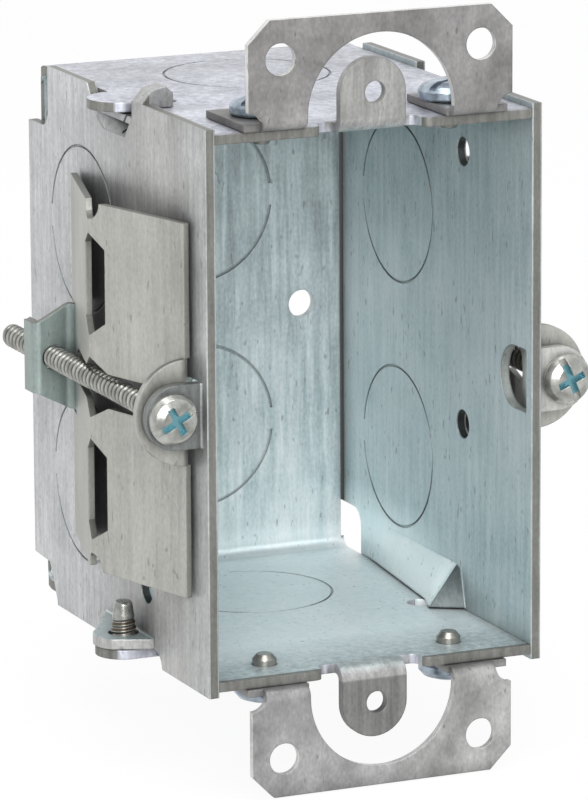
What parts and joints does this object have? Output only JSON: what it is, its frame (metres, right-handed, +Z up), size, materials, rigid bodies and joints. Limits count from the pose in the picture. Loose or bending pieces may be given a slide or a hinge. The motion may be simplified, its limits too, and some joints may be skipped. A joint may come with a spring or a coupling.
{
  "type": "drywall back box",
  "caption": "Gangable steel switch box for drywall: hooked side plates, adjustable plaster ears, knockouts and side clamps that spread behind the wallboard as their screws turn.",
  "frame": {"origin": "centre of the front opening, midway between the two device screw holes, on the front faces of the device tabs", "axes": "+X to the right and +Z up as seen from the front, +Y into the wall"},
  "size_m": [0.066, 0.0648, 0.1052],
  "materials": {
    "box_zinc": "zinc coated, fine rolling streaks",
    "plate_zinc": "zinc coated, fine rolling streaks",
    "ear_zinc": "dull zinc, faint spangle",
    "clamp_zinc": "dull zinc",
    "screw_zinc": "bright blue-white zinc plating",
    "clamp_screw_zinc": "bright zinc plating"
  },
  "bodies": {
    "box": {"box_channel": "box_zinc", "side_plate_left": "plate_zinc", "side_plate_right": "plate_zinc", "side_screw_left": "screw_zinc", "side_screw_right": "screw_zinc", "ear_screw_top_left": "screw_zinc", "ear_screw_top_right": "screw_zinc", "ear_screw_bottom_left": "screw_zinc", "ear_screw_bottom_right": "screw_zinc", "clamp_left": "clamp_zinc", "clamp_right": "clamp_zinc"},
    "ear_top": {"plaster_ear_top": "ear_zinc"},
    "ear_bottom": {"plaster_ear_bottom": "ear_zinc"},
    "clamp_screw_left": {"clamp_screw_left": "clamp_screw_zinc"},
    "clamp_screw_right": {"clamp_screw_right": "clamp_screw_zinc"}
  },
  "joints": [
    {"name": "ear_top_slide", "type": "slide", "parent": "box", "child": "ear_top", "axis": [0, -1, 0], "range_m": [-0.0015, 0.004]},
    {"name": "ear_bottom_slide", "type": "slide", "parent": "box", "child": "ear_bottom", "axis": [0, -1, 0], "range_m": [-0.0015, 0.004]},
    {"name": "clamp_screw_left_turn", "type": "hinge", "parent": "box", "child": "clamp_screw_left", "pos_m": [-0.02887, 0, 0], "axis": [0, 1, 0], "continuous": true},
    {"name": "clamp_screw_right_turn", "type": "hinge", "parent": "box", "child": "clamp_screw_right", "pos_m": [0.02887, 0, 0], "axis": [0, 1, 0], "continuous": true}
  ]
}
